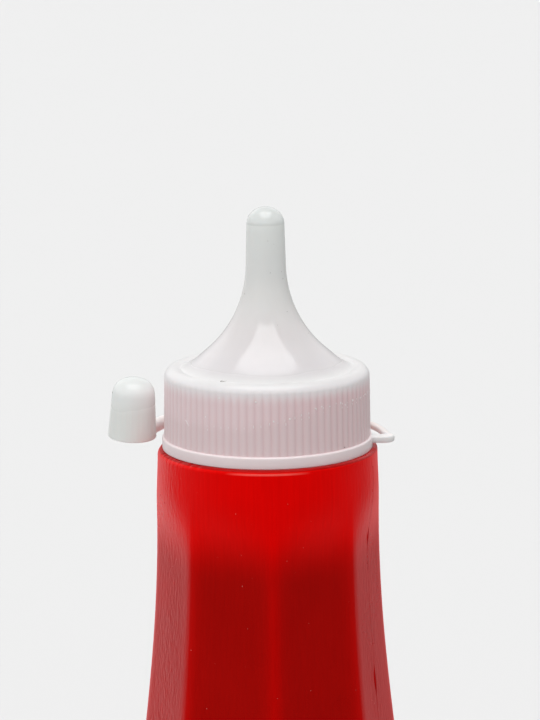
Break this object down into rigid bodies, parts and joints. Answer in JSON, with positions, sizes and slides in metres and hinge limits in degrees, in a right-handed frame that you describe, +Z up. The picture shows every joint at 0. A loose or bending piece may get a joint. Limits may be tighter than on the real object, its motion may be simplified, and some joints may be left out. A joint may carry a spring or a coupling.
{
  "type": "ketchup bottle",
  "caption": "Translucent red squeeze bottle of ketchup with flat panels, a white ribbed screw closure with a long pouring nozzle, and a domed tip cap off on its strap.",
  "frame": {"origin": "centre of the base, on the surface it stands on", "axes": "+Z up along the bottle and nozzle; +X towards the strap's arm, -X towards the tip cap; -Y is the front"},
  "size_m": [0.0643, 0.063, 0.214],
  "materials": {
    "bottle": "satin translucent red polyethylene",
    "ketchup": "wet sauce",
    "closure": "satin natural polyethylene",
    "strap": "satin natural polyethylene",
    "tip_cap": "satin natural polyethylene"
  },
  "bodies": {
    "root": {"bottle": "bottle", "ketchup": "ketchup", "closure": "closure", "strap": "strap", "tip_cap": "tip_cap"}
  },
  "joints": []
}
